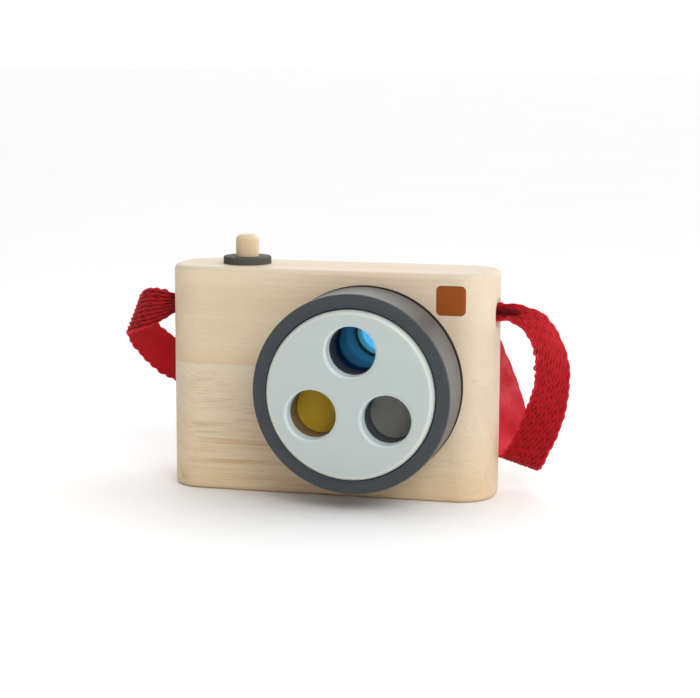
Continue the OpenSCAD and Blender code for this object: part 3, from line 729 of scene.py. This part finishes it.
def webbing(name):
    """Red cotton webbing: plump warp yarns on one face and a close, felted weave on the other."""
    p = Paint(name)
    weave = p.attribute("weave", "Vector")
    ribbed = p.attribute("ribbed", "Fac")
    width, run, crown = (p.part(weave, axis) for axis in "xyz")
    flat = p.vector("MULTIPLY", weave, (1, 1, 0))
    # Twisted fibres of the yarns, and the slanted picks and felt of the smooth face
    twist = p.noise(p.stretch(flat, (5.5, 1.3, 1), turn=(0, 0, 0.5)), detail=3, roughness=0.65)
    felt = p.noise(p.stretch(flat, (2.2, 3.4, 1), (7, 3, 0)), detail=4, roughness=0.7)
    slant = p.stretch(flat, (0.55, 1, 1), turn=(0, 0, 0.5))
    picks = p.node("TexWave", "Fac", {"Vector": slant, "Scale": 0.5, "Distortion": 1.2, "Detail": 2.0,
                                      "Detail Scale": 3.0}, bands_direction="Y")
    fade = p.noise(p.place(), 60, 2, 0.5)
    edge = p.spread(crown, 1.0, EDGE_CROWN)
    # Painted shade: the yarns are painted darker the lower they lie, in the dips and grooves between them,
    # and darker still where the shade of the cords and the trough takes light away
    yarn = p.mix(p.spread(crown, 0.08, 0.72), srgb(60, 4, 9), srgb(163, 11, 22))
    yarn = p.mix(p.spread(twist, 0.3, 0.75, 0.0, 0.5), yarn, srgb(134, 8, 16))
    # Painted highlight on the edge loops, which stand higher in the light
    yarn = p.mix(p.times(edge, 0.7), yarn, srgb(206, 26, 44))
    # Painted highlight: the ribbed face is painted paler on its crowns where it folds over, and a little on
    # the outside of the bend
    slanted = p.math("ADD", run, p.times(width, FOLD_SLANT))
    fold = p.times(p.window(slanted, FOLD_STOPS, 0.06, 0.75), p.spread(crown, 0.25, 0.75, 0.1, 1.0))
    bend = p.times(p.window(run, BEND_STOPS, 0.0, 0.16), p.spread(width, *BEND_WIDTH))
    yarn = p.mix(p.math("MAXIMUM", fold, bend), yarn, srgb(255, 72, 80))
    mottle = p.noise(p.stretch(flat, (0.16, 0.1, 1), (2, 9, 0)), detail=3, roughness=0.6)
    # Painted light: the smooth face is painted paler and pinker behind the right side, where it is lit
    lit_smooth = p.mix(p.spread(mottle, 0.35, 0.65), srgb(255, 128, 146), srgb(252, 92, 110))
    lit_smooth = p.mix(p.spread(run, *LESS_LIT_SMOOTH, 0.0, 0.8), lit_smooth, srgb(226, 50, 70))
    lit_smooth = p.mix(p.spread(felt, 0.3, 0.7, 0.0, 0.4), lit_smooth, srgb(216, 58, 76))
    plain = p.mix(p.spread(felt, 0.3, 0.7), srgb(192, 26, 36), srgb(162, 15, 25))
    plain = p.mix(p.times(picks, 0.3), plain, srgb(142, 9, 18))
    smooth = p.mix(p.window(run, LIT_SMOOTH_STOPS), plain, lit_smooth)
    smooth = p.mix(p.times(picks, 0.12), smooth, srgb(160, 18, 28))
    smooth = p.mix(p.spread(mottle, 0.35, 0.65, 0.0, 0.36), smooth, srgb(150, 12, 22))
    # Painted highlight on the smooth face's edge loops too
    smooth = p.mix(p.times(edge, 0.6), smooth, srgb(216, 44, 62))
    colour = p.mix(ribbed, smooth, yarn)
    colour = p.mix(p.spread(fade, 0.35, 0.75, 0.0, 0.1), colour, srgb(206, 50, 58))
    relief = p.mix_number(ribbed, p.math("ADD", p.times(picks, 0.35), felt), twist)
    p.set(Base_Color=colour, Roughness=0.92, Specular_IOR_Level=0.2, Sheen_Weight=0.6, Sheen_Roughness=0.35,
          Sheen_Tint=srgb(255, 140, 145), Normal=p.bump(relief, 0.12 * MM, 0.5))
    return p.material


body_wood = wood("bare_wood_body", "x", 1.7, srgb(229, 214, 190), srgb(214, 194, 162), is_body=True)
dowel_wood = wood("bare_wood_dowel", "z", 4.3, srgb(232, 214, 182), srgb(198, 174, 134), figure=0.43)
peg_wood = wood("bare_wood_peg", "x", 7.9, srgb(120, 96, 70), srgb(90, 70, 50))
dark_grey = lacquer("dark_grey_paint", srgb(42, 49, 54), srgb(48, 55, 60), srgb(116, 115, 110), 2.1, 0.42,
                    rim_r=34.7 * MM, back_y=LENS_BACK_Y, bore_r=BORE_R, walls=FILTER_LIT_BORE_WALLS)
collar_grey = lacquer("dark_grey_paint_collar", srgb(75, 75, 71), srgb(84, 84, 79), srgb(108, 107, 102),
                      5.2, 0.6, gloss=0.08)
# The face disc's hole walls are painted whiter than its face: painted light where they catch the light
pale_grey = lacquer("pale_grey_paint", srgb(176, 186, 183), srgb(180, 190, 186), srgb(225, 217, 195),
                    3.4, 0.32, grain_shows=0.25, rim_r=28.1 * MM, rim_w=0.9 * MM, bore_r=HOLE_R,
                    bore_fade=0.8 * MM, walls=dict.fromkeys(HOLES, srgb(212, 224, 227)))
plain_steel = steel("steel", srgb(186, 188, 192))
red_webbing = webbing("red_webbing")
LOOKS = {
    "body": body_wood, "shutter_button": dowel_wood, "strap_peg_left": peg_wood, "strap_peg_right": peg_wood,
    "lens_barrel": dark_grey, "button_collar": collar_grey, "lens_face": pale_grey,
    "filter_blue": acrylic("blue_acrylic", srgb(80, 186, 246), srgb(72, 180, 242), 1.0),
    "filter_yellow": acrylic("yellow_acrylic", srgb(240, 202, 70), srgb(234, 196, 62), 0.3),
    "filter_grey": acrylic("grey_acrylic", srgb(178, 176, 170), srgb(170, 168, 162), 0.3),
    "lens_axle": plain_steel, "axle_washer": plain_steel,
    "spacer_ring": fibre_board("fibre"),
}
for name, material in LOOKS.items():
    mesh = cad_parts[name].data
    mesh.materials.clear()
    mesh.materials.append(material)

spring.data.materials.append(plain_steel)
for piece in [band, *edges]:
    piece.data.materials.append(red_webbing)
    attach(piece, "camera")
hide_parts("strap")

# Floor: half its side, cells along a side, and its height, just under the part
FLOOR_HALF, FLOOR_CELLS, FLOOR_Z = 12.0, 12, -0.05 * MM
# The studio is brightest on this side of the object; its glow there and opposite, and the backdrop that the
# camera sees
BRIGHT_SIDE = Vector((0.45, 0.85, 0.08)).normalized()
FRONT_GLOW, BACK_GLOW, BACKDROP = 0.37, 1.7, 1.05
WHITE = (1, 1, 1, 1)
# Key light: the way to it, its distance and side in metres, and its power in watts
KEY_WAY, KEY_DISTANCE, KEY_SIDE, KEY_POWER = Vector((0.42, -0.72, 0.55)).normalized(), 0.8, 0.45, 3.1


def make_floor():
    p = Paint("floor")
    tone = p.noise(p.place(), 6, 3, 0.5)
    p.set(Base_Color=p.mix(p.spread(tone, 0.3, 0.7), (0.93, 0.93, 0.93, 1), (0.95, 0.95, 0.95, 1)),
          Roughness=0.7)
    row = FLOOR_CELLS + 1
    ticks = np.linspace(-FLOOR_HALF, FLOOR_HALF, row)
    points = [(x, y, FLOOR_Z) for y in ticks for x in ticks]
    faces = [(j * row + i, j * row + i + 1, (j + 1) * row + i + 1, (j + 1) * row + i)
             for j in range(FLOOR_CELLS) for i in range(FLOOR_CELLS)]
    mesh = bpy.data.meshes.new("floor")
    mesh.from_pydata(points, [], faces)
    mesh.materials.append(p.material)
    link(bpy.data.objects.new("floor", mesh))


def make_key():
    """A square soft box, turned to the object."""
    data = bpy.data.lights.new("key", "AREA")
    data.size = KEY_SIDE
    data.energy = KEY_POWER
    lamp = link(bpy.data.objects.new("key", data))
    lamp.location = TARGET + KEY_WAY * KEY_DISTANCE
    lamp.rotation_mode = "QUATERNION"
    lamp.rotation_quaternion = KEY_WAY.to_track_quat("Z", "Y")


def make_world():
    """White studio: a bright backdrop behind the object and softer light from the front."""
    world = bpy.data.worlds.new("studio")
    scene.world = world
    world.use_nodes = True
    sky = Nodes(world.node_tree)
    way = sky.node("TexCoord", "Generated", {})
    facing = sky.node("VectorMath", "Value", {0: way, 1: BRIGHT_SIDE}, operation="DOT_PRODUCT")
    glow = sky.node("MapRange", 0, {0: facing, 1: -0.5, 2: 0.8, 3: FRONT_GLOW, 4: BACK_GLOW},
                    interpolation_type="SMOOTHSTEP")
    around = sky.node("Background", 0, {"Color": WHITE, "Strength": glow})
    seen = sky.node("LightPath", "Is Camera Ray", {})
    white = sky.node("Background", 0, {"Color": WHITE, "Strength": BACKDROP})
    both = sky.node("MixShader", 0, {0: seen, 1: around, 2: white})
    sky.put(sky.tree.nodes["World Output"].inputs["Surface"], both)


make_floor()
make_world()
make_key()
scene.view_settings.view_transform = "Standard"
scene.cycles.use_denoising = True
